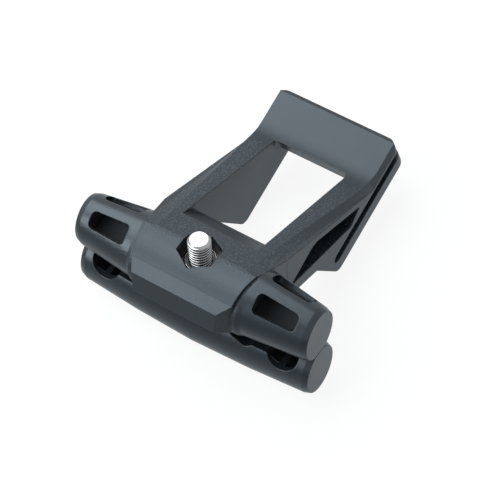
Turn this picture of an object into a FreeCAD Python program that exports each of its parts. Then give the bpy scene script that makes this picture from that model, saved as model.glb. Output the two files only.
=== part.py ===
import FreeCAD, Part
import math
import os
import Sketcher

# Saddle bag mount: two barrel-shaped clamp bars for the saddle rails, one screw and locking nut,
# and a frame of two walls and a plate for the bag's bracket.
# Frame: X along the bars, +Y towards the bag plate, +Z up the screw. The origin is on the screw's
# axis, at the height where the two bars part, a little above the rails' centre lines.

os.makedirs("parts", exist_ok=True)
doc = FreeCAD.newDocument("saddle_bag_mount")
sheet = doc.addObject("Spreadsheet::Sheet", "Sizes")

# Driving dimensions in millimetres and degrees
sizes = {
    # saddle rails and the split between the bars
    "rail_spacing": 43.5,
    "rail_diameter": 7.0,
    "rail_drop": 1.0,
    "rail_clearance": 0.05,
    "split_gap": 0.3,
    # oval sections of the bars: half length of the barrel, then the small end cone
    "bar_half_length": 27.0,
    "end_cone_length": 1.2,
    "end_cone_drop": 0.45,
    "window_inner": 15.6,
    # upper bar's oval beside the centre block and at the ends; its root swells a little towards the block
    "root_inner": 12.9,
    "root_outer": 13.8,
    "root_side_swell": 0.6,
    "root_crown_clearance": 0.1,
    "upper_shoulder_width": 14.2,
    "upper_shoulder_height": 15.6,
    "upper_shoulder_centre": 6.3,
    "upper_end_width": 10.8,
    "upper_end_height": 13.2,
    "upper_end_centre": 5.7,
    # lower bar's oval at the middle, part way along and at the ends, its centre below the split
    "lower_mid_width": 12.6,
    "lower_mid_height": 15.2,
    "lower_mid_centre": 6.9,
    "lower_shoulder": 14.0,
    "lower_shoulder_width": 11.9,
    "lower_shoulder_height": 14.7,
    "lower_shoulder_centre": 6.65,
    "lower_end_width": 10.6,
    "lower_end_height": 13.4,
    "lower_end_centre": 6.2,
    # walls of the hollow ends
    "bar_wall": 1.6,
    "hollow_inner": 14.4,
    "hollow_outer": 25.4,
    "upper_floor": 5.4,
    "floor_ledge": 0.9,
    "floor_ledge_step": 2.1,
    # windows in the upper bar
    "window_outer": 25.0,
    "front_window_slope": 40.0,
    "rear_window_slope": 38.0,
    "front_window_y": 1.9,
    "rear_window_y": 1.75,
    "spine_drop": 0.2,
    "window_inner_height": 4.6,
    "window_outer_height": 3.8,
    "window_radius": 1.1,
    # centre block
    "block_brow_half_width": 12.9,
    "block_crease_half_width": 12.1,
    "block_front_half_width": 9.9,
    "block_front": 10.4,
    "block_front_top_y": 9.85,
    "block_front_top_z": 10.96,
    "block_front_low_z": 5.5,
    "block_crease_y": 6.9,
    "block_crease_z": 11.7,
    "block_brow_y": 4.9,
    "block_brow_z": 14.3,
    "block_brow_radius": 7.0,
    "block_brow_end_y": 2.4,
    "block_ridge_y": 0.4,
    "block_ridge_z": 14.72,
    "block_ridge_radius": 4.0,
    "block_rear_y": 7.05,
    "block_rear_low_y": 12.3,
    "block_rear_low_z": 7.3,
    "block_rear_foot_y": 8.0,
    "block_rear_foot_z": 2.0,
    "block_core_z": 10.5,
    "block_foot_y": 4.4,
    "block_foot_z": 0.9,
    # frame of walls and plate
    "frame_width": 30.0,
    "channel_width": 18.2,
    "arm_slope": 19.5,
    "knee_y": 42.4,
    "knee_radius": 10.0,
    "plate_slope": 20.3,
    "plate_length": 10.9,
    "plate_thickness": 3.0,
    "plate_overlap": 0.75,
    "rail_depth": 9.1,
    "tip_radius": 0.6,
    "tip_chamfer_length": 0.85,
    "tip_chamfer_drop": 0.6,
    "plate_corner_radius": 2.6,
    "opening_corner_radius": 1.2,
    "wall_foot_y": 28.3,
    "wall_foot_radius": 2.4,
    "wall_heel_y": 19.8,
    "wall_heel_z": -4.9,
    "wall_heel_radius": 2.0,
    "strut_toe_y": 8.0,
    "strut_toe_z": -1.3,
    "strut_root_y": 3.6,
    # slanting face along the top outer edges, and the shoulder where the walls widen behind the block
    "edge_front_inset": 2.9,
    "edge_front_drop": 0.25,
    "edge_rear_inset": 0.6,
    "edge_rear_drop": 2.0,
    "shoulder_inset": 1.5,
    "shoulder_y": 9.0,
    # slide grooves for the bag's bracket
    "groove_drop": 2.6,
    "groove_width": 2.9,
    "groove_depth": 2.6,
    "groove_end_radius": 1.4,
    "groove_foot_y": 25.5,
    # wedge-shaped hollows in the outer faces of the walls
    "hollow_depth": 4.2,
    "hollow_rear_y": 36.9,
    "hollow_rear_z": -1.7,
    "hollow_low_y": 33.3,
    "hollow_low_z": -4.9,
    "hollow_top_y": 19.1,
    "hollow_top_z": 5.44,
    "hollow_front_y": 9.4,
    "hollow_front_z": 1.22,
    "hollow_corner_radius": 0.4,
    "hollow_top_radius": 4.0,
    # screw, nut and pocket
    "thread_diameter": 5.0,
    "thread_clearance": 0.05,
    "shank_clearance": 0.5,
    "nut_across_flats": 8.0,
    "nut_slack": 0.1,
    "nut_height": 5.0,
    "nut_top": 11.3,
    "nut_hex_height": 3.5,
    "nut_collar_diameter": 7.0,
    "insert_height": 1.3,
    "insert_recess": 0.35,
    "collar_lip": 0.35,
    "insert_outer": 6.3,
    "screw_tip": 17.9,
    "tip_chamfer": 0.55,
    "screw_length": 25.0,
    "head_diameter": 8.5,
    "head_height": 3.5,
    "head_slack": 0.25,
    "socket_across_flats": 3.0,
    "socket_depth": 2.0,
    # inside and notches of the lower bar
    "lower_core_half": 4.0,
    "lower_core_length": 2.3,
    "lower_core_top": 2.4,
    "lower_core_floor": 9.6,
    "lower_rib": 1.2,
    "dip_start": 2.4,
    "dip_deepest": 13.3,
    "dip_depth": 2.95,
    "dip_radius": 1.5,
    "dip_shelf_start": 14.9,
    "dip_shelf_depth": 2.05,
}
for number, (alias, value) in enumerate(sizes.items(), start=1):
    sheet.set("A%d" % number, alias.replace("_", " "))
    sheet.set("B%d" % number, str(value))
    sheet.setAlias("B%d" % number, alias)
doc.recompute()


def ref(text):
    """Puts the sheet's name before each size that an expression names."""
    for alias in sorted(sizes, key=len, reverse=True):
        text = text.replace("<" + alias + ">", "Sizes." + alias)
    return text


def value(text):
    """Works out an expression on the sheet as a plain number."""
    result = sheet.evalExpression(ref(text))
    return float(getattr(result, "Value", result))


def bind(obj, **properties):
    """Binds properties of an object to expressions on the sheet."""
    for name, text in properties.items():
        obj.setExpression(name.replace("__", "."), ref(text))
    return obj


def outline(sketch, corners):
    """Draws a closed outline through corners (u, v, radius), each an expression, with every corner bound."""
    points = [FreeCAD.Vector(value(u), value(v), 0) for u, v, radius in corners]
    radii = [value(radius) if radius else 0.0 for u, v, radius in corners]
    count = len(corners)
    starts, ends, arcs = [], [], []
    for i, point in enumerate(points):
        back = (points[i - 1] - point).normalize()
        ahead = (points[(i + 1) % count] - point).normalize()
        half = math.acos(max(-1.0, min(1.0, back.dot(ahead)))) / 2
        reach = radii[i] / math.tan(half)
        ends.append(point + back * reach)
        starts.append(point + ahead * reach)
        middle = (back + ahead).normalize()
        centre = point + middle * (radii[i] / math.sin(half))
        arcs.append((centre, centre - middle * radii[i]))
    lines = [sketch.addGeometry(Part.LineSegment(starts[i], ends[(i + 1) % count])) for i in range(count)]
    for i, (u, v, radius) in enumerate(corners):
        before, after = lines[i - 1], lines[i]
        if radius:
            corner = sketch.addGeometry(Part.Point(points[i]), True)
            arc = sketch.addGeometry(Part.Arc(ends[i], arcs[i][1], starts[i]))
            first = 1 if (sketch.getPoint(arc, 1) - ends[i]).Length < 1e-4 else 2
            sketch.addConstraint(Sketcher.Constraint("PointOnObject", corner, 1, before))
            sketch.addConstraint(Sketcher.Constraint("PointOnObject", corner, 1, after))
            sketch.addConstraint(Sketcher.Constraint("Tangent", before, 2, arc, first))
            sketch.addConstraint(Sketcher.Constraint("Tangent", after, 1, arc, 3 - first))
            index = sketch.addConstraint(Sketcher.Constraint("Radius", arc, radii[i]))
            sketch.renameConstraint(index, "radius%d" % i)
            sketch.setExpression("Constraints.radius%d" % i, ref(radius))
            place = (corner, 1)
        else:
            sketch.addConstraint(Sketcher.Constraint("Coincident", before, 2, after, 1))
            place = (after, 1)
        for axis, kind, text, size in (("u", "DistanceX", u, points[i].x), ("v", "DistanceY", v, points[i].y)):
            index = sketch.addConstraint(Sketcher.Constraint(kind, -1, 1, place[0], place[1], size))
            sketch.renameConstraint(index, "%s%d" % (axis, i))
            sketch.setExpression("Constraints.%s%d" % (axis, i), ref(text))
    return sketch


SIDE = FreeCAD.Rotation(FreeCAD.Vector(0, 1, 0), FreeCAD.Vector(0, 0, 1), FreeCAD.Vector(1, 0, 0), "XYZ")
PLAN = FreeCAD.Rotation()


def prism(name, corners, rotation, length, start=None):
    """Extrudes an outline along its normal, both ways from its plane or one way from a given start."""
    sketch = outline(doc.addObject("Sketcher::SketchObject", name + "_outline"), corners)
    sketch.Placement = FreeCAD.Placement(FreeCAD.Vector(), rotation)
    solid = doc.addObject("Part::Extrusion", name)
    solid.Base = sketch
    solid.DirMode = "Normal"
    solid.Solid = True
    bind(solid, LengthFwd=length)
    if start is None:
        solid.Symmetric = True
    else:
        normal = rotation.multVec(FreeCAD.Vector(0, 0, 1))
        for axis, part in (("x", normal.x), ("y", normal.y), ("z", normal.z)):
            if abs(part) > 0.5:
                sketch.setExpression("Placement.Base." + axis, ref(start))
    return solid


def oval(name, x, width, height, centre, sign):
    """An upright oval section of a bar at a place along X, its centre above (1) or below (-1) the split."""
    section = doc.addObject("Part::Ellipse", name)
    section.Placement.Rotation = FreeCAD.Rotation(FreeCAD.Vector(0, 1, 0), sign * 90)
    section.setExpression("Placement.Base.x", ref(x))
    section.setExpression("Placement.Base.z", ref("%d * (%s)" % (sign, centre)))
    return bind(section, MajorRadius="(%s) / 2" % height, MinorRadius="(%s) / 2" % width)


def loft(name, sections, ruled=False):
    solid = doc.addObject("Part::Loft", name)
    solid.Sections = sections
    solid.Solid = True
    solid.Ruled = ruled
    return solid


def box(name, x, y, z):
    """A box from expressions (low, high) along each axis."""
    solid = doc.addObject("Part::Box", name)
    for axis, side, (low, high) in (("x", "Length", x), ("y", "Width", y), ("z", "Height", z)):
        solid.setExpression("Placement.Base." + axis, ref(low))
        solid.setExpression(side, ref("(%s) - (%s)" % (high, low)))
    return solid


def rod(name, diameter, low, high, x="0", y="0"):
    """An upright cylinder between two heights."""
    solid = doc.addObject("Part::Cylinder", name)
    for axis, text in (("x", x), ("y", y), ("z", low)):
        solid.setExpression("Placement.Base." + axis, ref(text))
    return bind(solid, Radius="(%s) / 2" % diameter, Height="(%s) - (%s)" % (high, low))


def hexagon(name, flats, low, high):
    """An upright hexagonal prism with two corners on the Y axis."""
    solid = doc.addObject("Part::Prism", name)
    solid.Polygon = 6
    solid.Placement.Rotation = FreeCAD.Rotation(FreeCAD.Vector(0, 0, 1), 90)
    solid.setExpression("Placement.Base.z", ref(low))
    return bind(solid, Circumradius="(%s) / sqrt(3)" % flats, Height="(%s) - (%s)" % (high, low))


def rail_rod(name, side):
    """The space of one saddle rail, along Y."""
    solid = doc.addObject("Part::Cylinder", name)
    solid.Placement.Rotation = FreeCAD.Rotation(FreeCAD.Vector(1, 0, 0), -90)
    solid.setExpression("Placement.Base.x", ref("%d * <rail_spacing> / 2" % side))
    solid.setExpression("Placement.Base.y", ref("-<frame_width>"))
    solid.setExpression("Placement.Base.z", ref("-<rail_drop>"))
    return bind(solid, Radius="<rail_diameter> / 2 + <rail_clearance>", Height="2 * <frame_width>")


def fuse(name, shapes):
    solid = doc.addObject("Part::MultiFuse", name)
    solid.Shapes = shapes
    return solid


def cut(name, base, tool):
    solid = doc.addObject("Part::Cut", name)
    solid.Base = base
    solid.Tool = tool
    return solid


def common(name, shapes):
    solid = doc.addObject("Part::MultiCommon", name)
    solid.Shapes = shapes
    return solid


def mirrored(name, source):
    """The same piece on the other side of the plane x = 0."""
    solid = doc.addObject("Part::Mirroring", name)
    solid.Source = source
    solid.Base = (0, 0, 0)
    solid.Normal = (1, 0, 0)
    return solid


def bar(name, sections, sign):
    """A barrel bar: straight-sided lofts from oval to oval, each given as (x, width, height, centre)."""
    pieces = []
    for number, (start, stop) in enumerate(zip(sections, sections[1:])):
        for tag, side in (("right", 1), ("left", -1)):
            part = "%s_%d_%s" % (name, number, tag)
            pieces.append(loft(part, [
                oval("%s_%d" % (part, end), "%d * (%s)" % (side, section[0]), *section[1:], sign)
                for end, section in enumerate((start, stop))], ruled=True))
    return fuse(name + "_solid", pieces)


def end_face(width, height, centre):
    """The oval of the end face, inside the last one by the end cone's drop."""
    return ("<bar_half_length> + <end_cone_length>", "(%s - 2 * <end_cone_drop>)" % width,
            "(%s - 2 * <end_cone_drop>)" % height, centre)


# Upper bar: a root that meets the centre block, then the barrel and its end cone
upper_end = ("<upper_end_width>", "<upper_end_height>", "<upper_end_centre>")
upper_shoulder = ("<upper_shoulder_width>", "<upper_shoulder_height>", "<upper_shoulder_centre>")
root_width = "<upper_shoulder_width> + 2 * <root_side_swell>"
root_height = "<upper_shoulder_height> - 2 * <root_crown_clearance>"
root = (root_width, root_height, "<upper_shoulder_centre>")
upper_bar = bar("upper_bar", [
    ("0", *root),
    ("<root_inner>", *root),
    ("<root_outer>", *upper_shoulder),
    ("<bar_half_length>", *upper_end),
    end_face(*upper_end)], 1)

# Frame of walls and plate, seen from the side (u = Y, v = Z)
knee_z = "(<block_ridge_z> - (<knee_y> - <block_ridge_y>) * tan(<arm_slope> * 1 deg))"
tip_y = "(<knee_y> + <plate_length> * cos(<plate_slope> * 1 deg))"
tip_z = "(%s + <plate_length> * sin(<plate_slope> * 1 deg))" % knee_z
def on_plate(along, drop):
    """A point in the side view: so far back from the plate's tip, and so far under its face."""
    y = "(%s - (%s) * cos(<plate_slope> * 1 deg) + (%s) * sin(<plate_slope> * 1 deg))" % (tip_y, along, drop)
    z = "(%s - (%s) * sin(<plate_slope> * 1 deg) - (%s) * cos(<plate_slope> * 1 deg))" % (tip_z, along, drop)
    return y, z


lip_y = "(%s + <rail_depth> * sin(<plate_slope> * 1 deg))" % tip_y
lip_z = "(%s - <rail_depth> * cos(<plate_slope> * 1 deg))" % tip_z
foot_z = "(%s - (%s - <wall_foot_y>) * tan(<plate_slope> * 1 deg))" % (lip_z, lip_y)
frame = prism("frame_side", [
    ("0", "<upper_end_centre>", None),
    ("<block_ridge_y>", "<block_ridge_z>", None),
    ("<knee_y>", knee_z, "<knee_radius>"),
    (*on_plate("<tip_chamfer_length>", "0"), None),
    (*on_plate("0", "<tip_chamfer_drop>"), None),
    (lip_y, lip_z, "<tip_radius>"),
    ("<wall_foot_y>", foot_z, "<wall_foot_radius>"),
    ("<wall_heel_y>", "<wall_heel_z>", "<wall_heel_radius>"),
    ("<strut_toe_y>", "<strut_toe_z>", None),
    ("<strut_root_y>", "<split_gap> / 2", None)], SIDE, "<frame_width>")

# Channel between the walls: open above as far as the knee, and below the plate
plate_back = "(<knee_y> - <plate_overlap>)"
under_y = "(%s + <plate_thickness> * sin(<plate_slope> * 1 deg))" % plate_back
plate_back_z = "(%s - <plate_overlap> * sin(<plate_slope> * 1 deg))" % knee_z
under_z = "(%s - <plate_thickness> * cos(<plate_slope> * 1 deg))" % plate_back_z
far_y = "(%s + <frame_width>)" % under_y
far_z = "(%s + <frame_width> * tan(<plate_slope> * 1 deg))" % under_z
ahead_y = "(%s - 1.5 * <opening_corner_radius> * cos(<plate_slope> * 1 deg))" % under_y
ahead_z = "(%s - 1.5 * <opening_corner_radius> * sin(<plate_slope> * 1 deg))" % under_z
channel = prism("frame_channel", [
    ("<block_rear_y>", "<screw_tip>", None),
    (ahead_y, "<screw_tip>", None),
    (ahead_y, ahead_z, None),
    (far_y, far_z, None),
    (far_y, "-<frame_width>", None),
    ("<block_rear_foot_y>", "-<frame_width>", None),
    ("<block_rear_foot_y>", "<block_rear_foot_z>", None),
    ("<block_rear_low_y>", "<block_rear_low_z>", None),
    ("<block_rear_y>", "<block_ridge_z> - (<block_rear_y> - <block_ridge_y>) * tan(<arm_slope> * 1 deg)", None),
], SIDE, "<channel_width>")


def across_plate(name, corners, length):
    """A prism square to the plate, its outline (x, v) laid on the plate's face with v = 0 at the tip."""
    solid = prism(name, corners, PLAN, length)
    solid.Base.Placement.Rotation = FreeCAD.Rotation(FreeCAD.Vector(1, 0, 0), value("<plate_slope>"))
    solid.Base.setExpression("Placement.Rotation.Angle", ref("<plate_slope> * 1 deg"))
    solid.Base.setExpression("Placement.Base.y", ref(tip_y))
    solid.Base.setExpression("Placement.Base.z", ref(tip_z))
    return solid


opening_rear = "-(<plate_length> + <plate_overlap>)"
opening_front = "-(<plate_length> + <plate_overlap> + 4 * <opening_corner_radius>)"
opening_corners = across_plate("opening_corners", [
    ("-<channel_width> / 2", opening_front, None),
    ("<channel_width> / 2", opening_front, None),
    ("<channel_width> / 2", opening_rear, "<opening_corner_radius>"),
    ("-<channel_width> / 2", opening_rear, "<opening_corner_radius>")], "2 * <rail_depth>")
plate_ends = across_plate("plate_ends", [
    ("-<frame_width> / 2", "-3 * <frame_width>", None),
    ("<frame_width> / 2", "-3 * <frame_width>", None),
    ("<frame_width> / 2", "0", "<plate_corner_radius>"),
    ("-<frame_width> / 2", "0", "<plate_corner_radius>")], "4 * <frame_width>")

# Slide grooves, open at the tip
groove_low = "(<groove_drop> + <groove_width>)"
groove_reach = "((%s - <groove_foot_y>) / cos(<plate_slope> * 1 deg))" % tip_y
groove_end = "<groove_end_radius>"
groove = prism("slide_groove", [
    (*on_plate("-<rail_depth>", "<groove_drop>"), None),
    (*on_plate(groove_reach, "<groove_drop>"), groove_end),
    (*on_plate(groove_reach, groove_low), groove_end),
    (*on_plate("-<rail_depth>", groove_low), None)],
    SIDE, "<frame_width>", start="<frame_width> / 2 - <groove_depth>")

# Wedge-shaped hollows in the outer faces
hollow = prism("wall_hollow", [
    ("<hollow_rear_y>", "<hollow_rear_z>", "<hollow_corner_radius>"),
    ("<hollow_top_y>", "<hollow_top_z>", "<hollow_top_radius>"),
    ("<hollow_front_y>", "<hollow_front_z>", "<hollow_corner_radius>"),
    ("<hollow_low_y>", "<hollow_low_z>", "2 * <hollow_corner_radius>")],
    SIDE, "<frame_width>", start="<frame_width> / 2 - <hollow_depth>")
side_cuts = [groove, mirrored("slide_groove_left", groove), hollow, mirrored("wall_hollow_left", hollow)]

# Top outer edges of the arms and the plate, drawn in along a slanting face that narrows towards the knee
past_tip_z = "(%s + <tip_radius> * tan(<plate_slope> * 1 deg))" % tip_z


def edge_section(name, y, z, side_x, inset, side_drop):
    """One section of the wedge cut from a top outer edge; it runs on above the edge by its own height."""
    section = outline(doc.addObject("Sketcher::SketchObject", name), [
        (side_x, "%s - %s" % (z, side_drop), None),
        ("%s - 2 * %s" % (side_x, inset), "%s + %s" % (z, side_drop), None),
        ("<frame_width>", "%s + %s" % (z, side_drop), None),
        ("<frame_width>", "%s - %s" % (z, side_drop), None)])
    section.Placement.Rotation = FreeCAD.Rotation(FreeCAD.Vector(1, 0, 0), 90)
    section.setExpression("Placement.Base.y", ref(y))
    return section


wall_face = "(<frame_width> / 2)"
wall_front = "(<frame_width> / 2 - <shoulder_inset>)"
edge_wedge = loft("edge_wedge", [
    edge_section("edge_front", "<block_ridge_y>", "<block_ridge_z>", wall_front, "<edge_front_inset>",
                 "<edge_front_drop>"),
    edge_section("edge_knee", "<knee_y>", knee_z, wall_face, "<edge_rear_inset>", "<edge_rear_drop>"),
    edge_section("edge_tip", "(%s + <tip_radius>)" % tip_y, past_tip_z,
                 wall_face, "<edge_rear_inset>", "<edge_rear_drop>")], ruled=True)
shoulder = prism("frame_shoulder", [
    (wall_front, "<block_ridge_y>", None),
    (wall_face, "<shoulder_y>", None),
    ("<frame_width>", "<shoulder_y>", None),
    ("<frame_width>", "-<frame_width>", None),
    (wall_front, "-<frame_width>", None)], PLAN, "2 * <frame_width>")
side_cuts += [edge_wedge, mirrored("edge_wedge_left", edge_wedge)]
side_cuts += [shoulder, mirrored("frame_shoulder_left", shoulder)]

# Centre block, rounded over above the crease, with its front corners cut back
ridge_drop = "(<block_ridge_z> - (<block_rear_y> - <block_ridge_y>) * tan(<arm_slope> * 1 deg))"
block = prism("centre_block", [
    ("-<block_front>", "<block_front_low_z>", None),
    ("-<block_front_top_y>", "<block_front_top_z>", None),
    ("-<block_crease_y>", "<block_crease_z>", None),
    ("-<block_brow_y>", "<block_brow_z>", "<block_brow_radius>"),
    ("<block_ridge_y>", "<block_ridge_z>", "<block_ridge_radius>"),
    ("<block_rear_y>", ridge_drop, None),
    ("<block_rear_low_y>", "<block_rear_low_z>", None),
    ("<block_rear_foot_y>", "<block_rear_foot_z>", None),
    ("<block_foot_y>", "<block_foot_z>", None),
    ("-<block_foot_y>", "<block_foot_z>", None)], SIDE, "2 * " + wall_front)
corner = prism("block_corner", [
    ("<block_front_half_width>", "-<block_front>", None),
    ("<block_crease_half_width>", "-<block_crease_y>", None),
    ("<block_brow_half_width>", "-<block_brow_end_y>", None),
    (wall_front, "<block_ridge_y>", None),
    ("<frame_width>", "<block_ridge_y>", None),
    ("<frame_width>", "-2 * <block_front>", None),
    ("<block_front_half_width>", "-2 * <block_front>", None)], PLAN, "<screw_tip>", start="0")
block_corners = fuse("block_corners", [corner, mirrored("block_corner_left", corner)])
block_shaped = cut("block_shaped", block, block_corners)

# Frame and block as one, with the side cuts taken one at a time
frame_blank = common("frame_blank", [frame, plate_ends])
open_frame = cut("open_frame", cut("frame_walls", frame_blank, channel), opening_corners)
walls = fuse("frame_and_block", [open_frame, block_shaped])
for number, tool in enumerate(side_cuts):
    walls = cut("frame_cut_%d" % number, walls, tool)


# Hollow ends of the upper bar
def share(x, start, inner_size, end_size):
    """An oval's size at a place between a bar's inner section, at start, and its end."""
    return "(%s + (%s - %s) * (%s - %s) / (<bar_half_length> - %s))" % (
        inner_size, end_size, inner_size, x, start, start)


def hollow_oval(name, x, start, sections, sign):
    """The oval inside the wall of a bar at a place between two of its sections."""
    w, h, c = [share(x, start, inner_size, end_size) for inner_size, end_size in zip(*sections)]
    return oval(name, x, "(%s - 2 * <bar_wall>)" % w, "(%s - 2 * <bar_wall>)" % h, c, sign)


upper_ends = (upper_shoulder, upper_end)
inner = loft("upper_hollow_oval", [
    hollow_oval("upper_hollow_in", "<hollow_inner>", "<root_outer>", upper_ends, 1),
    hollow_oval("upper_hollow_out", "<hollow_outer>", "<root_outer>", upper_ends, 1)], ruled=True)
above_floor = box("above_floor", ("0", "<frame_width>"), ("-<frame_width>", "<frame_width>"),
                  ("<upper_floor>", "<frame_width>"))
ledge = box("floor_ledge_bar", ("0", "<frame_width>"),
            ("-<floor_ledge_step> - <floor_ledge>", "-<floor_ledge_step>"),
            ("0", "<upper_floor> + <floor_ledge>"))
upper_hollow = cut("upper_hollow", common("upper_hollow_top", [inner, above_floor]), ledge)


def window(name, slope, sign, edges):
    """A rounded window through the bar's wall: edges are (x, v) corners on a plane tilted about X."""
    cutter = prism(name, [(u, v, "<window_radius>") for u, v in edges], PLAN, "<frame_width>")
    sketch = cutter.Base
    cutter.Symmetric = False
    sketch.Placement.Rotation = FreeCAD.Rotation(FreeCAD.Vector(1, 0, 0), value(slope))
    sketch.setExpression("Placement.Rotation.Angle", ref("%d * %s * 1 deg" % (sign, slope)))
    sketch.setExpression("Placement.Base.y", ref("%d * <upper_floor> * sin(%s * 1 deg)" % (-sign, slope)))
    sketch.setExpression("Placement.Base.z", ref("<upper_floor> * cos(%s * 1 deg)" % slope))
    return cutter


def on_slope(y, z, slope, sign):
    return "((%s) * cos(%s * 1 deg) + %d * (%s) * sin(%s * 1 deg))" % (y, slope, sign, z, slope)


def crown(x):
    """Height of the bar's crown at a place along X."""
    h = share(x, "<root_outer>", "<upper_shoulder_height>", "<upper_end_height>")
    c = share(x, "<root_outer>", "<upper_shoulder_centre>", "<upper_end_centre>")
    return "(%s + %s / 2)" % (c, h)


spine_in = "(%s - <spine_drop>)" % crown("<window_inner>")
spine_out = "(%s - <spine_drop>)" % crown("<window_outer>")
front_in = on_slope("-<front_window_y>", spine_in, "<front_window_slope>", 1)
front_out = on_slope("-<front_window_y>", spine_out, "<front_window_slope>", 1)
rear_in = on_slope("<rear_window_y>", spine_in, "<rear_window_slope>", -1)
rear_out = on_slope("<rear_window_y>", spine_out, "<rear_window_slope>", -1)
front_window = window("front_window", "<front_window_slope>", 1, [
    ("<window_inner>", front_in), ("<window_outer>", front_out),
    ("<window_outer>", front_out + " - <window_outer_height>"),
    ("<window_inner>", front_in + " - <window_inner_height>")])
rear_window = window("rear_window", "<rear_window_slope>", -1, [
    ("<window_inner>", rear_in), ("<window_outer>", rear_out),
    ("<window_outer>", rear_out + " + <window_outer_height>"),
    ("<window_inner>", rear_in + " + <window_inner_height>")])

rails = [rail_rod("rail_space_right", 1), rail_rod("rail_space_left", -1)]
below_split = box("below_split", ("-<frame_width>", "<frame_width>"), ("-<frame_width>", "<frame_width>"),
                  ("-<frame_width>", "<split_gap> / 2"))
nut_floor = "(<nut_top> - <nut_height>)"
pocket = hexagon("nut_pocket", "<nut_across_flats> + 2 * <nut_slack>", nut_floor, "2 * <screw_tip>")
shank_space = "<thread_diameter> + <shank_clearance>"
screw_hole = rod("screw_hole", shank_space, "-<frame_width>", "<screw_tip>")
crown_space = box("crown_space", ("-<block_crease_half_width>", "<block_crease_half_width>"),
                  ("-<frame_width>", "<frame_width>"), ("<block_core_z>", "<frame_width>"))
bar_cut = cut("upper_bar_cut", upper_bar, fuse("bar_cuts", [below_split, crown_space]))
mount_solid = fuse("mount_solid", [bar_cut, walls])
mount_cuts = fuse("mount_cuts", [
    upper_hollow, mirrored("upper_hollow_left", upper_hollow),
    front_window, mirrored("front_window_left", front_window),
    rear_window, mirrored("rear_window_left", rear_window), *rails, pocket, screw_hole])
mount_body = cut("mount_body", mount_solid, mount_cuts)

# Lower clamp
lower_end = ("<lower_end_width>", "<lower_end_height>", "<lower_end_centre>")
lower_bar = bar("lower_bar", [
    ("0", "<lower_mid_width>", "<lower_mid_height>", "<lower_mid_centre>"),
    ("<lower_shoulder>", "<lower_shoulder_width>", "<lower_shoulder_height>", "<lower_shoulder_centre>"),
    ("<bar_half_length>", *lower_end),
    end_face(*lower_end)], -1)
above_split = box("above_split", ("-<frame_width>", "<frame_width>"), ("-<frame_width>", "<frame_width>"),
                  ("-<split_gap> / 2", "<frame_width>"))
lower_cores = []
for tag, sign in (("in", -1), ("out", 1)):
    near = "<rail_spacing> / 2 + %d * <lower_rib> / 2" % sign
    far = "<rail_spacing> / 2 + %d * (<lower_rib> / 2 + <lower_core_length>)" % sign
    lower_cores.append(box("lower_core_" + tag, (near, far) if sign > 0 else (far, near),
                           ("-<lower_core_half>", "<lower_core_half>"),
                           ("-<lower_core_floor>", "-<lower_core_top>")))
dip = prism("split_dip", [
    ("<dip_start>", "-<split_gap> / 2", None),
    ("<dip_deepest>", "-<split_gap> / 2 - <dip_depth>", "<dip_radius>"),
    ("<dip_shelf_start>", "-<split_gap> / 2 - <dip_shelf_depth>", None),
    ("<rail_spacing> / 2", "-<split_gap> / 2 - <dip_shelf_depth>", None),
    ("<rail_spacing> / 2", "<split_gap>", None),
    ("<dip_start>", "<split_gap>", None)],
    FreeCAD.Rotation(FreeCAD.Vector(1, 0, 0), 90), "<frame_width>")
head_seat = "(<screw_tip> - <screw_length>)"
head_hole = rod("head_hole", "<head_diameter> + 2 * <head_slack>", "-<frame_width>", head_seat)
lower_screw_hole = rod("lower_screw_hole", shank_space, "-<frame_width>", "<frame_width>")
lower_rails = [rail_rod("lower_rail_space_right", 1), rail_rod("lower_rail_space_left", -1)]
lower_clamp = cut("lower_clamp", lower_bar, fuse("lower_cuts", [
    above_split, *lower_cores, *[mirrored(core.Name + "_left", core) for core in lower_cores],
    dip, mirrored("split_dip_left", dip), *lower_rails, head_hole, lower_screw_hole]))

# Screw from below
screw_diameter = "(<thread_diameter> - 2 * <thread_clearance>)"
shank = rod("screw_shank", screw_diameter, head_seat, "<screw_tip> - <tip_chamfer>")
tip = doc.addObject("Part::Cone", "screw_tip_cone")
tip.setExpression("Placement.Base.z", ref("<screw_tip> - <tip_chamfer>"))
bind(tip, Radius1=screw_diameter + " / 2", Radius2=screw_diameter + " / 2 - <tip_chamfer>",
     Height="<tip_chamfer>")
head = rod("screw_head", "<head_diameter>", head_seat + " - <head_height>", head_seat)
socket = hexagon("screw_socket", "<socket_across_flats>", head_seat + " - <head_height>",
                 head_seat + " - <head_height> + <socket_depth>")
clamp_bolt = cut("clamp_bolt", fuse("screw_blank", [shank, tip, head]), socket)

# Locking nut and its nylon ring
collar_low = nut_floor + " + <nut_hex_height>"
nut_hex = hexagon("nut_hexagon", "<nut_across_flats>", nut_floor, collar_low)
nut_collar = rod("nut_collar", "<nut_collar_diameter>", nut_floor, "<nut_top> - <collar_lip>")
lip = doc.addObject("Part::Cone", "nut_lip")
lip.setExpression("Placement.Base.z", ref("<nut_top> - <collar_lip>"))
bind(lip, Radius1="<nut_collar_diameter> / 2", Radius2="<nut_collar_diameter> / 2 - <collar_lip>",
     Height="<collar_lip>")
insert_top = "<nut_top> - <insert_recess>"
insert_foot = insert_top + " - <insert_height>"
insert_space = rod("insert_space", "<insert_outer>", insert_foot, "2 * <nut_top>")
nut_bore = rod("nut_bore", "<thread_diameter>", "0", "2 * <nut_top>")
nut_blank = fuse("nut_blank", [nut_hex, nut_collar, lip])
lock_nut = cut("lock_nut", nut_blank, fuse("nut_spaces", [insert_space, nut_bore]))
ring = rod("insert_ring", "<insert_outer>", insert_foot, insert_top)
ring_bore = rod("insert_bore", "<thread_diameter>", "0", "2 * <nut_top>")
nut_insert = cut("nut_insert", ring, ring_bore)

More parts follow.
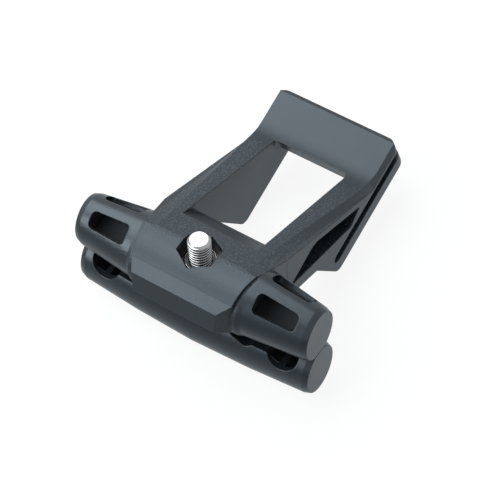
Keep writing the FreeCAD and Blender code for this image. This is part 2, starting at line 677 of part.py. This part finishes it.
doc.recompute()
nodes = [mount_body, lower_clamp, clamp_bolt, lock_nut, nut_insert]
for obj in doc.Objects:
    if "Invalid" in obj.State or "Error" in obj.State:
        raise RuntimeError("%s did not recompute: %s" % (obj.Name, obj.State))
for node in nodes:
    node.Label = node.Name
    shape = node.Shape
    if shape.isNull() or not shape.isValid():
        raise RuntimeError("%s has no valid shape" % node.Label)
    shape.exportStep("parts/%s.step" % node.Label)
    size = shape.BoundBox
    print("%-12s solids %d volume %.1f" % (node.Label, len(shape.Solids), shape.Volume))
    print("    x %.2f %.2f  y %.2f %.2f" % (size.XMin, size.XMax, size.YMin, size.YMax))
    print("    z %.2f %.2f" % (size.ZMin, size.ZMax))
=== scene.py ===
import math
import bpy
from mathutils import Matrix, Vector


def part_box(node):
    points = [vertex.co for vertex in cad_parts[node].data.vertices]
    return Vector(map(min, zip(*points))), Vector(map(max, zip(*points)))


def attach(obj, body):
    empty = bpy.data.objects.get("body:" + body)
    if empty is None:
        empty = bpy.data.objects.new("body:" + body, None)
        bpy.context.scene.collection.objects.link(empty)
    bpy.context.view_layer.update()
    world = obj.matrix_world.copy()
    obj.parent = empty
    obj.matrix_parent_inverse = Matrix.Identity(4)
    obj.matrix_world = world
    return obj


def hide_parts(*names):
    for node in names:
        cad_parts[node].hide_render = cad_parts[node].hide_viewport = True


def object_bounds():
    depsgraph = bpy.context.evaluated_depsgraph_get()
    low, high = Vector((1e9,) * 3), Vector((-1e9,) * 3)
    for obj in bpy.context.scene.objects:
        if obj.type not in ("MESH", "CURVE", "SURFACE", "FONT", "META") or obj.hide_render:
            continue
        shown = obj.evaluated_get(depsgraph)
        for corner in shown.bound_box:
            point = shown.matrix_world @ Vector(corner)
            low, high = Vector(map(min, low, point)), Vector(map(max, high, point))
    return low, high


bl_info = {
    "name": "Saddle Bag Mount",
    "version": (1, 0, 0),
    "blender": (4, 5, 0),
    "location": "View3D > Sidebar > Bag Mount",
    "description": "Dresses the saddle bag mount: moulded plastic, threaded screw, locking nut, studio",
    "category": "Object",
}

import bmesh
import bpy
from bpy.props import FloatProperty, FloatVectorProperty, IntProperty, PointerProperty
from mathutils import Matrix, Vector

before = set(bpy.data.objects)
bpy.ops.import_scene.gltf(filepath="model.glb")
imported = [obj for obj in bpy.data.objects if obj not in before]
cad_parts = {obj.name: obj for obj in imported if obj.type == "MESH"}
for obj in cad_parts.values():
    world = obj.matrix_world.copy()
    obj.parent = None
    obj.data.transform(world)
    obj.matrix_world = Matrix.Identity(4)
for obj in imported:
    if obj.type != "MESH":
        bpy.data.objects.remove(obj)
FRAME_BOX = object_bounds()
SCREW_LOW, SCREW_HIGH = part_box("clamp_bolt")

# Where the body's surface changes, along X and Y, and over what length
BARREL_START = 0.0136
BARREL_START_FADE = 0.0003
BARREL_BACK = 0.0083
BARREL_BACK_FADE = 0.0005
BLOCK_LINES_BACK = 0.0012
SPECKLE_FRONT = -0.0026
SPECKLE_FRONT_FADE = 0.0022
KNEE_BACK = 0.0415
KNEE_FADE = 0.004

# How far a face points up, as the Z of its normal: where the speckle starts and where it is full
SPECKLE_FACING = (0.80, 0.90)

# The upper barrels' hollows, where shade is painted: end of the hollow, outer half height, its loss along X,
# its stretch along Y, axis height
HOLLOW_END = 0.0254
HOLLOW_END_FADE = 0.0003
BARREL_SKIN = 0.0078
BARREL_TAPER = 0.1
BARREL_STRETCH = 1.15
BARREL_AXIS = 0.0060
WALL_MIDDLE = 0.0007
WALL_INNER = 0.0014

# Plastic: the part of a noise that is used, clouds in a metre, shades, and how the zones differ
NOISE_LOW = 0.3
NOISE_HIGH = 0.7
PLASTIC_CLOUDS = 90.0
GRAIN_SHADES = (0.88, 1.12)
CLOUD_SHADES = (0.92, 1.08)
DULLNESS_BELOW = 0.02
DULLNESS_ABOVE = 0.03
SPECKLE_THRESHOLDS = (0.50, 0.72)
# Painted glints: how much lighter the speckle's colour is made on the arms' tops
SPECKLE_GLINT_LIFT = 3.0
BARREL_LINES = 0.4
# Painted shade: the share by which the colour is darkened inside the barrels' hollows, where shade falls
HOLLOW_PAINTED_SHADE = 0.95
INSIDE_DULLING = 0.4
PLASTIC_INDEX = 1.53

# Steel and nylon: clouds in a metre, shades, colour and dullness
STEEL_CLOUDS = 500.0
STEEL_SHADES = (0.96, 1.02)
NYLON_CLOUDS = 1500.0
NYLON_SHADES = (0.92, 1.04)
NYLON_COLOUR = (0.02, 0.022, 0.025)
NYLON_DULLNESS = 0.5

# Screw: strips of the frame's screw that are read, the thread's shoulder, and the facets of the head
SHANK_STRIP = 0.004
HEAD_RIM = 0.0002
THREAD_SHOULDER = 0.2
HEAD_FACETS = 60
SOCKET_SIDES = 6
SHARP_ANGLE = math.radians(35)

# Studio, in metres: floor, where its painted reflection changes along Y, and the two soft boxes
FLOOR_HALF = 1.5
FLOOR_REAR_FADE = (-0.05, 0.03)
FLOOR_FAR_FADE = (-0.10, -0.40)
BACKDROP_WHITE = 1.05
WHITE = (1.0, 1.0, 1.0, 1.0)
OVERHEAD_SIZE = (0.58, 0.68)
OVERHEAD_PLACE = (-0.31, -0.02, 0.46)
FRONT_SIZE = (0.36, 0.42)
FRONT_PLACE = (-0.36, -0.54, 0.17)

# The photograph's viewpoint: 53 degrees above, 36 degrees to the right of the front
CAMERA_RIGHT = Vector((0.83464189, 0.54964814, -0.03549428))
CAMERA_UP = Vector((-0.42103472, 0.67823448, 0.60226884))
CAMERA_BACK = Vector((0.35510939, -0.48773448, 0.79750385))
CAMERA_PLACE = Vector((0.16434732, -0.21190564, 0.37109820))
CAMERA_SENSOR = 36.0
CAMERA_REACH = (0.01, 20.0)


# Settings

class PlasticSettings(bpy.types.PropertyGroup):
    """The moulded plastic of the body and the lower clamp."""

    colour: FloatVectorProperty(
        name="Colour", description="Base colour of the moulded plastic", subtype="COLOR",
        size=3, min=0.0, max=1.0, default=(0.0115, 0.0160, 0.0195))
    sheen_colour: FloatVectorProperty(
        name="Reflection colour", description="Cool tint of what the plastic reflects", subtype="COLOR",
        size=3, min=0.0, max=1.0, default=(0.76, 0.89, 1.0))
    smooth: FloatProperty(
        name="Barrel dullness", description="Roughness of the smoother bars", min=0.0, max=1.0,
        default=0.30)
    textured: FloatProperty(
        name="Texture dullness", description="Roughness of the textured frame and block", min=0.0, max=1.0,
        default=0.44)
    grain: FloatProperty(
        name="Grain", description="Size of the fine grain", unit="LENGTH", min=0.00005, max=0.002,
        default=0.00028)
    grain_depth: FloatProperty(
        name="Grain depth", description="Height of the fine grain", unit="LENGTH", min=0.0, max=0.0002,
        default=0.000010)
    speckle: FloatProperty(
        name="Speckle", description="Size of the coarse speckle on the arms", unit="LENGTH", min=0.0001,
        max=0.002, default=0.00042)
    speckle_depth: FloatProperty(
        name="Speckle depth", description="Height of the coarse speckle", unit="LENGTH", min=0.0, max=0.0002,
        default=0.000045)
    cutter_step: FloatProperty(
        name="Cutter step", description="Spacing of the mould cutter's lines on the block", unit="LENGTH",
        min=0.0001, max=0.002, default=0.00040)
    cutter_depth: FloatProperty(
        name="Cutter depth", description="Depth of the mould cutter's lines", unit="LENGTH", min=0.0,
        max=0.0001, default=0.000014)
    edge_radius: FloatProperty(
        name="Edge radius", description="Radius of the moulding's broken edges", unit="LENGTH", min=0.0,
        max=0.001, default=0.00030)


class ScrewSettings(bpy.types.PropertyGroup):
    """The steel screw and its nut."""

    colour: FloatVectorProperty(
        name="Colour", description="Colour of the plated steel", subtype="COLOR",
        size=3, min=0.0, max=1.0, default=(0.36, 0.365, 0.375))
    roughness: FloatProperty(
        name="Roughness", description="Dullness of the plating", min=0.0, max=1.0, default=0.16)
    pitch: FloatProperty(
        name="Pitch", description="Rise of the thread in one turn", unit="LENGTH", min=0.0003, max=0.002,
        default=0.0008)
    depth: FloatProperty(
        name="Thread depth", description="Height of the thread's ridge", unit="LENGTH", min=0.0001,
        max=0.001, default=0.00030)
    steps: IntProperty(
        name="Steps per turn", description="Facets in one turn of the thread", min=12, max=96, default=48)
    point: FloatProperty(
        name="Point chamfer", description="Chamfer at the screw's end", unit="LENGTH", min=0.0, max=0.002,
        default=0.00055)
    edge_radius: FloatProperty(
        name="Edge radius", description="Radius of the steel's broken edges", unit="LENGTH", min=0.0,
        max=0.001, default=0.00018)
    head_round: FloatProperty(
        name="Head rounding", description="Radius of the head's lower rim", unit="LENGTH", min=0.0,
        max=0.001, default=0.0004)
    socket: FloatProperty(
        name="Socket", description="Width of the hexagon socket across its flats", unit="LENGTH", min=0.001,
        max=0.006, default=0.003)
    socket_depth: FloatProperty(
        name="Socket depth", description="Depth of the hexagon socket", unit="LENGTH", min=0.0005, max=0.003,
        default=0.002)


class StageSettings(bpy.types.PropertyGroup):
    """Floor, lights and camera."""

    floor: FloatVectorProperty(
        name="Floor", description="Colour of the floor", subtype="COLOR", size=3, min=0.0, max=1.0,
        default=(0.74, 0.79, 0.82))
    floor_front: FloatProperty(
        name="Floor in front", description="How bright the floor in front shows in what shines", min=0.0,
        max=2.0, default=0.45)
    floor_far: FloatProperty(
        name="Floor far in front", description="How bright the floor far in front shows in what shines",
        min=0.0, max=2.0, default=1.25)
    floor_rear: FloatProperty(
        name="Floor behind", description="How bright the floor behind shows in what shines", min=0.0, max=2.0,
        default=1.15)
    backdrop: FloatProperty(
        name="Backdrop", description="Share of plain white in the floor as the camera sees it", min=0.0,
        max=1.0, default=0.86)
    sky: FloatProperty(
        name="Room light", description="Strength of the room's plain light", min=0.0, max=2.0, default=0.12)
    overhead: FloatProperty(
        name="Overhead light", description="Power of the overhead soft box", unit="POWER", min=0.0,
        default=4.9)
    front: FloatProperty(
        name="Front light", description="Power of the soft box at the front left", unit="POWER", min=0.0,
        default=2.5)
    lens: FloatProperty(
        name="Lens", description="Focal length of the camera", unit="CAMERA", min=10.0, max=400.0,
        default=167.374)


# Shared helpers

def mesh_object(name, bm):
    """A finished piece: the bmesh becomes an object at the origin."""
    mesh = bpy.data.meshes.new(name)
    bm.to_mesh(mesh)
    bm.free()
    piece = bpy.data.objects.new(name, mesh)
    bpy.context.collection.objects.link(piece)
    return piece


def dress(piece, material):
    """The piece wears this material alone."""
    piece.data.materials.clear()
    piece.data.materials.append(material)


def blank_tree(owner):
    """Empties the node tree of a material or a world."""
    owner.use_nodes = True
    owner.node_tree.nodes.clear()
    return owner.node_tree


def feed(tree, socket, value):
    """Links another node's output to the socket, or sets the socket to a plain value."""
    if isinstance(value, bpy.types.NodeSocket):
        tree.links.new(value, socket)
    else:
        socket.default_value = value


def node(tree, kind, **inputs):
    """Adds a shader node and feeds its inputs, named with _ for a space."""
    added = tree.nodes.new(kind)
    for name, value in inputs.items():
        feed(tree, added.inputs[name.replace("_", " ")], value)
    return added


def lay_out(tree, output):
    """Places the nodes in columns, each column to the left of what it feeds."""
    columns = {}
    waiting = [(output, 0)]
    while waiting:
        current, column = waiting.pop()
        if column > columns.get(current.name, -1):
            columns[current.name] = column
            links = [link for socket in current.inputs for link in socket.links]
            waiting += [(link.from_node, column + 1) for link in links]
    rows = {}
    for name, column in columns.items():
        row = rows.setdefault(column, 0)
        rows[column] = row + 1
        tree.nodes[name].location = (-220 * column, -200 * row)


def maths(tree, operation, first, second=None):
    """A maths node on one or two sockets or plain numbers."""
    added = tree.nodes.new("ShaderNodeMath")
    added.operation = operation
    feed(tree, added.inputs[0], first)
    if second is not None:
        feed(tree, added.inputs[1], second)
    return added.outputs[0]


def plus(tree, first, second):
    return maths(tree, "ADD", first, second)


def minus(tree, first, second):
    return maths(tree, "SUBTRACT", first, second)


def times(tree, first, second):
    return maths(tree, "MULTIPLY", first, second)


def step(tree, source, start, end):
    """0 at start, 1 at end, smooth between."""
    mapped = node(tree, "ShaderNodeMapRange", Value=source, From_Min=start, From_Max=end)
    mapped.interpolation_type = "SMOOTHSTEP"
    return mapped.outputs["Result"]


def ramp(tree, noise, low, high):
    """Spreads a noise between two plain values."""
    mapped = node(
        tree, "ShaderNodeMapRange", Value=noise, From_Min=NOISE_LOW, From_Max=NOISE_HIGH, To_Min=low,
        To_Max=high)
    return mapped.outputs["Result"]


def blend(tree, share, first, second):
    """Mixes two shaders: all of the first at a share of 0, all of the second at 1."""
    mixed = tree.nodes.new("ShaderNodeMixShader")
    for socket, value in zip(mixed.inputs, (share, first, second)):
        feed(tree, socket, value)
    return mixed.outputs[0]


def object_noise(tree, scale, detail):
    """Noise laid out in the object's own metres."""
    coordinates = tree.nodes.new("ShaderNodeTexCoord")
    noise = node(
        tree, "ShaderNodeTexNoise", Vector=coordinates.outputs["Object"], Scale=scale, Detail=detail,
        Roughness=0.6)
    return noise.outputs["Fac"]


def tinted(tree, colour, shade):
    """A colour made lighter or darker by a shade."""
    tint = tree.nodes.new("ShaderNodeVectorMath")
    tint.operation = "SCALE"
    tint.inputs[0].default_value = colour
    feed(tree, tint.inputs["Scale"], shade)
    return tint.outputs["Vector"]


def broken_edges(tree, radius, samples):
    """The surface's direction with its edges rounded off."""
    edges = node(tree, "ShaderNodeBevel", Radius=radius)
    edges.samples = samples
    return edges.outputs["Normal"]


def shiny_rays(tree):
    """Two masks: what is seen mirrored or through something clear, and what the camera sees itself."""
    rays = tree.nodes.new("ShaderNodeLightPath")
    mirrored = maths(tree, "MAXIMUM", rays.outputs["Is Glossy Ray"], rays.outputs["Is Transmission Ray"])
    return mirrored, rays.outputs["Is Camera Ray"]


# Plastic

def body_zones(tree):
    """Masks of the body's zones, from 0 to 1, and the place along Y."""
    coordinates = tree.nodes.new("ShaderNodeTexCoord")
    place = node(tree, "ShaderNodeSeparateXYZ", Vector=coordinates.outputs["Object"])
    facing = node(tree, "ShaderNodeSeparateXYZ", Vector=coordinates.outputs["Normal"])
    along = place.outputs["Y"]
    aside = maths(tree, "ABSOLUTE", place.outputs["X"])
    outboard = step(tree, aside, BARREL_START, BARREL_START + BARREL_START_FADE)
    forward = step(tree, along, BARREL_BACK + BARREL_BACK_FADE, BARREL_BACK)
    barrel = times(tree, outboard, forward)
    inboard = minus(tree, 1.0, barrel)
    block = times(tree, inboard, step(tree, along, BLOCK_LINES_BACK, 0.0))
    upward = step(tree, facing.outputs["Z"], *SPECKLE_FACING)
    behind = step(tree, along, SPECKLE_FRONT, SPECKLE_FRONT + SPECKLE_FRONT_FADE)
    ahead = step(tree, along, KNEE_BACK, KNEE_BACK - KNEE_FADE)
    between = times(tree, behind, ahead)
    return {
        "along": along,
        "barrel": barrel,
        "lined": plus(tree, block, times(tree, barrel, BARREL_LINES)),
        "arms": times(tree, times(tree, upward, between), inboard),
        "inside": barrel_inside(tree, place, aside, barrel),
    }


def barrel_inside(tree, place, aside, barrel):
    """The walls inside the upper barrels, nearer the barrel's axis than its outer skin, where shade is
    painted into the colour.
    """
    taper = times(tree, minus(tree, aside, BARREL_START), BARREL_TAPER)
    skin = minus(tree, BARREL_SKIN, taper)
    across = times(tree, place.outputs["Y"], BARREL_STRETCH)
    above = minus(tree, place.outputs["Z"], BARREL_AXIS)
    flat = node(tree, "ShaderNodeCombineXYZ", X=across, Y=above)
    reach = tree.nodes.new("ShaderNodeVectorMath")
    reach.operation = "LENGTH"
    tree.links.new(flat.outputs[0], reach.inputs[0])
    depth = minus(tree, skin, reach.outputs["Value"])
    within = times(tree, step(tree, depth, WALL_MIDDLE, WALL_INNER), barrel)
    short = step(tree, aside, HOLLOW_END + HOLLOW_END_FADE, HOLLOW_END)
    return times(tree, within, short)


def body_finish(tree, settings, shade, height, dull):
    """Adds the body's zones to the plain plastic: rough frame, speckled arms with painted glints, cutter
    lines, painted shade in the hollows.
    """
    zones = body_zones(tree)
    texture = minus(tree, 1.0, zones["barrel"])
    dull = plus(tree, dull, times(tree, texture, settings.textured - settings.smooth))
    dull = plus(tree, dull, times(tree, zones["inside"], INSIDE_DULLING))

    speckle = step(tree, object_noise(tree, 1.0 / settings.speckle, 1.0), *SPECKLE_THRESHOLDS)
    bumps = times(tree, speckle, settings.speckle_depth)
    height = plus(tree, height, times(tree, bumps, zones["arms"]))
    # Painted glints: the speckle's colour is lifted on the up-facing arms; its bumps are real texture
    painted_glint = times(tree, times(tree, speckle, SPECKLE_GLINT_LIFT), zones["arms"])
    shade = times(tree, shade, plus(tree, 1.0, painted_glint))

    lines = maths(tree, "SINE", times(tree, zones["along"], math.tau / settings.cutter_step))
    shallow = times(tree, lines, settings.cutter_depth / 2)
    height = plus(tree, height, times(tree, shallow, zones["lined"]))

    # Painted shade: the colour is darkened inside the barrels' hollows, where shade falls
    shaded = minus(tree, 1.0, times(tree, zones["inside"], HOLLOW_PAINTED_SHADE))
    return times(tree, shade, shaded), height, dull


def plastic_material(name, settings, zoned):
    """Black glass-filled nylon with a fine grain. The body's has zones, the lower clamp's is plain."""
    material, tree, shader = new_material(name)
    grain = object_noise(tree, 1.0 / settings.grain, 2.0)
    cloud = object_noise(tree, PLASTIC_CLOUDS, 3.0)
    shade = times(tree, ramp(tree, grain, *GRAIN_SHADES), ramp(tree, cloud, *CLOUD_SHADES))
    height = times(tree, grain, settings.grain_depth)
    dull = ramp(tree, cloud, settings.smooth - DULLNESS_BELOW, settings.smooth + DULLNESS_ABOVE)
    if zoned:
        shade, height, dull = body_finish(tree, settings, shade, height, dull)
    feed(tree, shader.inputs["Base Color"], tinted(tree, settings.colour, shade))
    feed(tree, shader.inputs["Roughness"], dull)
    edges = broken_edges(tree, settings.edge_radius, 8)
    bump = node(tree, "ShaderNodeBump", Strength=1.0, Distance=1.0, Height=height, Normal=edges)
    feed(tree, shader.inputs["Normal"], bump.outputs["Normal"])
    shader.inputs["IOR"].default_value = PLASTIC_INDEX
    shader.inputs["Specular Tint"].default_value = (*settings.sheen_colour, 1.0)
    return finished(material, tree)


# Other materials

def new_material(name):
    """An empty node material with its output and shader."""
    material = bpy.data.materials.new(name)
    tree = blank_tree(material)
    shader = tree.nodes.new("ShaderNodeBsdfPrincipled")
    node(tree, "ShaderNodeOutputMaterial", Surface=shader.outputs["BSDF"])
    return material, tree, shader


def finished(material, tree):
    """Sets the material's nodes out once they are all linked."""
    lay_out(tree, tree.get_output_node("ALL"))
    return material


def steel_material(name, settings):
    """Bright plated steel with faint mottling."""
    material, tree, shader = new_material(name)
    cloud = object_noise(tree, STEEL_CLOUDS, 2.0)
    feed(tree, shader.inputs["Base Color"], tinted(tree, settings.colour, ramp(tree, cloud, *STEEL_SHADES)))
    dull = ramp(tree, cloud, settings.roughness - DULLNESS_BELOW, settings.roughness + DULLNESS_ABOVE)
    feed(tree, shader.inputs["Roughness"], dull)
    feed(tree, shader.inputs["Normal"], broken_edges(tree, settings.edge_radius, 6))
    shader.inputs["Metallic"].default_value = 1.0
    return finished(material, tree)


def nylon_material(name):
    """Black nylon of the locking ring."""
    material, tree, shader = new_material(name)
    cloud = object_noise(tree, NYLON_CLOUDS, 2.0)
    feed(tree, shader.inputs["Base Color"], tinted(tree, NYLON_COLOUR, ramp(tree, cloud, *NYLON_SHADES)))
    shader.inputs["Roughness"].default_value = NYLON_DULLNESS
    return finished(material, tree)


def floor_material(name, settings):
    """Pale floor: near white to the camera but for its shadow. In what shines it glows as a painted
    reflection, dim in front and brighter behind and far in front.
    """
    material = bpy.data.materials.new(name)
    tree = blank_tree(material)
    coordinates = tree.nodes.new("ShaderNodeTexCoord")
    along = node(tree, "ShaderNodeSeparateXYZ", Vector=coordinates.outputs["Object"]).outputs["Y"]
    rear = step(tree, along, *FLOOR_REAR_FADE)
    near = plus(tree, times(tree, rear, settings.floor_rear - settings.floor_front), settings.floor_front)
    far = times(tree, step(tree, along, *FLOOR_FAR_FADE), settings.floor_far - settings.floor_front)
    colour = (*settings.floor, 1.0)
    surface = node(tree, "ShaderNodeBsdfDiffuse", Color=colour).outputs[0]
    white = node(tree, "ShaderNodeEmission", Color=WHITE, Strength=BACKDROP_WHITE).outputs[0]
    # Painted reflection: the floor glows in what shines, dim in front so that the bars' fronts show painted
    # shade
    shown = node(tree, "ShaderNodeEmission", Color=colour, Strength=plus(tree, near, far)).outputs[0]
    mirrored, camera = shiny_rays(tree)
    seen = blend(tree, camera, surface, blend(tree, settings.backdrop, surface, white))
    node(tree, "ShaderNodeOutputMaterial", Surface=blend(tree, mirrored, seen, shown))
    return finished(material, tree)


# Operators, one for each piece or pair of like pieces, and one for the stage

class BAGMOUNT_OT_mouldings(bpy.types.Operator):
    """Give the moulded body and the lower clamp their grained plastic"""

    bl_idname = "bagmount.mouldings"
    bl_label = "Plastic Mouldings"

    def execute(self, context):
        settings = context.scene.bagmount_plastic
        dress(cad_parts["mount_body"], plastic_material("textured_black_nylon", settings, True))
        dress(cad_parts["lower_clamp"], plastic_material("smooth_black_nylon", settings, False))
        return {"FINISHED"}


class BAGMOUNT_OT_screw(bpy.types.Operator):
    """Model the clamp screw with its rolled thread, chamfered point and socket head"""

    bl_idname = "bagmount.screw"
    bl_label = "Threaded Screw"

    def execute(self, context):
        settings = context.scene.bagmount_screw
        bm = bmesh.new()
        seat = self.head_seat()
        self.thread(bm, settings, self.crest_radius(), seat)
        self.head(bm, settings, seat)
        bmesh.ops.recalc_face_normals(bm, faces=bm.faces)
        screw = mesh_object("clamp_screw", bm)
        for polygon in screw.data.polygons:
            polygon.use_smooth = True
        screw.data.set_sharp_from_angle(angle=SHARP_ANGLE)
        dress(screw, steel_material("plated_steel", settings))
        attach(screw, "screw")
        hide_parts("clamp_bolt")
        return {"FINISHED"}

    def crest_radius(self):
        """The shank's radius, read off the frame's screw near its tip."""
        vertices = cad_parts["clamp_bolt"].data.vertices
        top = max(v.co.z for v in vertices)
        return max(v.co.xy.length for v in vertices if v.co.z > top - SHANK_STRIP)

    def head_seat(self):
        """Height of the head's upper face, read off the frame's screw."""
        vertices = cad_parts["clamp_bolt"].data.vertices
        widest = max(v.co.xy.length for v in vertices)
        return max(v.co.z for v in vertices if v.co.xy.length > widest - HEAD_RIM)

    def thread(self, bm, settings, crest, foot):
        """Winds one pitch of the thread's outline up the shank, then trims both ends and closes them."""
        pitch = settings.pitch
        root = crest - settings.depth
        shoulder = crest - THREAD_SHOULDER * settings.depth
        outline = [
            (root, 0.0), (root, 0.16), (shoulder, 0.24), (crest, 0.32),
            (crest, 0.78), (shoulder, 0.84), (root, 0.92), (root, 1.0)]
        start = foot - pitch
        top = SCREW_HIGH[2]
        turns = math.ceil((top - start) / pitch) + 1
        verts = [bm.verts.new((radius, 0.0, start + share * pitch)) for radius, share in outline]
        edges = [bm.edges.new(pair) for pair in zip(verts, verts[1:])]
        bmesh.ops.spin(
            bm, geom=verts + edges, cent=(0, 0, 0), axis=(0, 0, 1), dvec=(0, 0, pitch / settings.steps),
            angle=math.tau * turns, steps=settings.steps * turns, use_merge=False, use_duplicate=False)
        bmesh.ops.remove_doubles(bm, verts=bm.verts, dist=1e-6)
        for height, outward in ((top, 1), (foot, -1)):
            cut = bmesh.ops.bisect_plane(
                bm, geom=bm.verts[:] + bm.edges[:] + bm.faces[:], dist=1e-7, plane_co=(0, 0, height),
                plane_no=(0, 0, outward), clear_outer=True)
            rim = [part for part in cut["geom_cut"] if isinstance(part, bmesh.types.BMEdge)]
            bmesh.ops.contextual_create(bm, geom=rim)
        for vert in bm.verts:
            limit = crest - settings.point + (top - vert.co.z)
            radius = vert.co.xy.length
            if radius > limit:
                vert.co.xy *= limit / radius

    def head(self, bm, settings, seat):
        """The head: a cylinder with a rounded lower rim and a hexagon socket."""
        low = SCREW_LOW[2]
        radius = (SCREW_HIGH[0] - SCREW_LOW[0]) / 2
        made = bmesh.ops.create_cone(
            bm, cap_ends=True, segments=HEAD_FACETS, radius1=radius, radius2=radius, depth=seat - low,
            matrix=Matrix.Translation((0, 0, (seat + low) / 2)))
        cap = self.lowest_face({face for vert in made["verts"] for face in vert.link_faces})
        bmesh.ops.bevel(
            bm, geom=list(cap.edges), offset=settings.head_round, offset_type="OFFSET", segments=3,
            profile=0.5, affect="EDGES", material=-1)
        cap = self.lowest_face(bm.faces)
        rim = list(cap.edges)
        bmesh.ops.delete(bm, geom=[cap], context="FACES_ONLY")
        hexagon = bmesh.ops.create_circle(
            bm, segments=SOCKET_SIDES, radius=settings.socket / math.sqrt(3),
            matrix=Matrix.Translation((0, 0, low)))
        sides = {edge for vert in hexagon["verts"] for edge in vert.link_edges}
        split = bmesh.ops.subdivide_edges(bm, edges=list(sides), cuts=HEAD_FACETS // SOCKET_SIDES - 1)
        loop = [part for part in split["geom_split"] if isinstance(part, bmesh.types.BMEdge)]
        bmesh.ops.bridge_loops(bm, edges=rim + loop)
        raised = bmesh.ops.extrude_edge_only(bm, edges=loop)["geom"]
        corners = [part for part in raised if isinstance(part, bmesh.types.BMVert)]
        ceiling = [part for part in raised if isinstance(part, bmesh.types.BMEdge)]
        bmesh.ops.translate(bm, verts=corners, vec=(0, 0, settings.socket_depth))
        bmesh.ops.contextual_create(bm, geom=ceiling)

    def lowest_face(self, faces):
        return min(faces, key=lambda face: face.calc_center_median().z)


class BAGMOUNT_OT_nut(bpy.types.Operator):
    """Finish the locking nut and its nylon ring"""

    bl_idname = "bagmount.nut"
    bl_label = "Locking Nut"

    def execute(self, context):
        settings = context.scene.bagmount_screw
        dress(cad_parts["lock_nut"], steel_material("nut_steel", settings))
        dress(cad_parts["nut_insert"], nylon_material("locking_nylon"))
        return {"FINISHED"}


class BAGMOUNT_OT_stage(bpy.types.Operator):
    """Set the floor, the soft lights and the camera"""

    bl_idname = "bagmount.stage"
    bl_label = "Studio"

    def execute(self, context):
        settings = context.scene.bagmount_stage
        self.floor(settings)
        self.world(context, settings)
        self.lights(settings)
        self.camera(context, settings)
        context.scene.view_settings.view_transform = "Standard"
        return {"FINISHED"}

    def floor(self, settings):
        """A large square at the height of the object's lowest point."""
        bm = bmesh.new()
        low = FRAME_BOX[0][2]
        bmesh.ops.create_grid(
            bm, x_segments=1, y_segments=1, size=FLOOR_HALF, matrix=Matrix.Translation((0, 0, low)))
        floor = mesh_object("floor", bm)
        dress(floor, floor_material("pale_floor", settings))

    def world(self, context, settings):
        """White behind the object and in what shines, a gentler plain light on everything else."""
        world = bpy.data.worlds.new("studio")
        tree = blank_tree(world)
        seen = node(tree, "ShaderNodeBackground", Color=WHITE, Strength=1.0).outputs[0]
        light = node(tree, "ShaderNodeBackground", Color=WHITE, Strength=settings.sky).outputs[0]
        mirrored, camera = shiny_rays(tree)
        plain = maths(tree, "MAXIMUM", camera, mirrored)
        output = node(tree, "ShaderNodeOutputWorld", Surface=blend(tree, plain, light, seen))
        lay_out(tree, output)
        context.scene.world = world

    def soft_box(self, name, power, size, place):
        """A rectangular soft light that faces straight down."""
        lamp = bpy.data.lights.new(name, "AREA")
        lamp.shape = "RECTANGLE"
        lamp.size, lamp.size_y = size
        lamp.energy = power
        light = bpy.data.objects.new(name, lamp)
        light.location = place
        bpy.context.collection.objects.link(light)
        return light

    def lights(self, settings):
        """A wide soft box level overhead to the left, and a smaller low one turned in from the front left."""
        self.soft_box("overhead", settings.overhead, OVERHEAD_SIZE, OVERHEAD_PLACE)
        front = self.soft_box("front_left", settings.front, FRONT_SIZE, FRONT_PLACE)
        front.rotation_euler = (-front.location).to_track_quat("-Z", "Y").to_euler()

    def camera(self, context, settings):
        """The camera, at the photograph's viewpoint."""
        data = bpy.data.cameras.new("view")
        data.lens = settings.lens
        data.sensor_width = CAMERA_SENSOR
        data.clip_start, data.clip_end = CAMERA_REACH
        camera = bpy.data.objects.new("view", data)
        turn = Matrix((CAMERA_RIGHT, CAMERA_UP, CAMERA_BACK)).transposed().to_4x4()
        camera.matrix_world = Matrix.Translation(CAMERA_PLACE) @ turn
        context.collection.objects.link(camera)
        context.scene.camera = camera


class BAGMOUNT_PT_panel(bpy.types.Panel):
    """The pieces of the saddle bag mount"""

    bl_label = "Bag Mount"
    bl_idname = "BAGMOUNT_PT_panel"
    bl_space_type = "VIEW_3D"
    bl_region_type = "UI"
    bl_category = "Bag Mount"

    def draw(self, context):
        layout = self.layout
        for name, group in SETTINGS:
            box = layout.box()
            for setting in group.__annotations__:
                box.prop(getattr(context.scene, name), setting)
        for operator in OPERATORS:
            layout.operator(operator.bl_idname)


OPERATORS = (BAGMOUNT_OT_mouldings, BAGMOUNT_OT_screw, BAGMOUNT_OT_nut, BAGMOUNT_OT_stage)
SETTINGS = (
    ("bagmount_plastic", PlasticSettings),
    ("bagmount_screw", ScrewSettings),
    ("bagmount_stage", StageSettings),
)


def register():
    for name, group in SETTINGS:
        bpy.utils.register_class(group)
        setattr(bpy.types.Scene, name, PointerProperty(type=group))
    for cls in (*OPERATORS, BAGMOUNT_PT_panel):
        bpy.utils.register_class(cls)


def unregister():
    for cls in reversed((*OPERATORS, BAGMOUNT_PT_panel)):
        bpy.utils.unregister_class(cls)
    for name, group in reversed(SETTINGS):
        delattr(bpy.types.Scene, name)
        bpy.utils.unregister_class(group)


def main():
    register()
    bpy.ops.bagmount.mouldings()
    bpy.ops.bagmount.screw()
    bpy.ops.bagmount.nut()
    bpy.ops.bagmount.stage()


if __name__ == "__main__":
    main()
